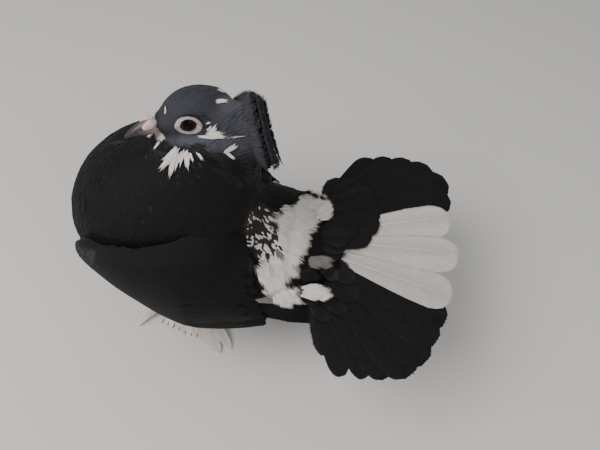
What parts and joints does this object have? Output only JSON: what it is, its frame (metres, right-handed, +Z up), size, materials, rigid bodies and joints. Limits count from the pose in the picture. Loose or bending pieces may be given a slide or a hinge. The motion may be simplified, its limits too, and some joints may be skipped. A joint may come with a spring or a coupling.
{
  "type": "fantail pigeon model",
  "caption": "Still life-size model of a black and white fantail pigeon that stands with puffed breast, turned crested head, spread tail and feathered feet.",
  "frame": {"origin": "on the floor under the middle of the bird's length and width", "axes": "+X towards the tail, +Y towards the bird's right side, +Z up"},
  "size_m": [0.2473, 0.1665, 0.2004],
  "materials": {
    "black_feather": "near-black body plumage with a faint cold gloss",
    "slate_feather": "slate-grey head plumage with pale flecks",
    "tail_feather": "black and white flight plumage",
    "white_feather": "white plumage",
    "bill_horn": "dark horn, pinkish at the root",
    "cere_skin": "powdery pinkish-white bare skin",
    "eye": "dark brown wet eye"
  },
  "bodies": {
    "root": {"head": "slate_feather", "crest": "slate_feather", "eye_left": "eye", "eye_right": "eye", "bill_upper": "bill_horn", "bill_lower": "bill_horn", "cere": "cere_skin", "neck": "black_feather", "torso": "black_feather", "wing_left": "black_feather", "wing_right": "black_feather", "tail": "tail_feather", "leg_left": "black_feather", "leg_right": "black_feather", "foot_left": "white_feather", "foot_right": "white_feather"}
  },
  "joints": []
}
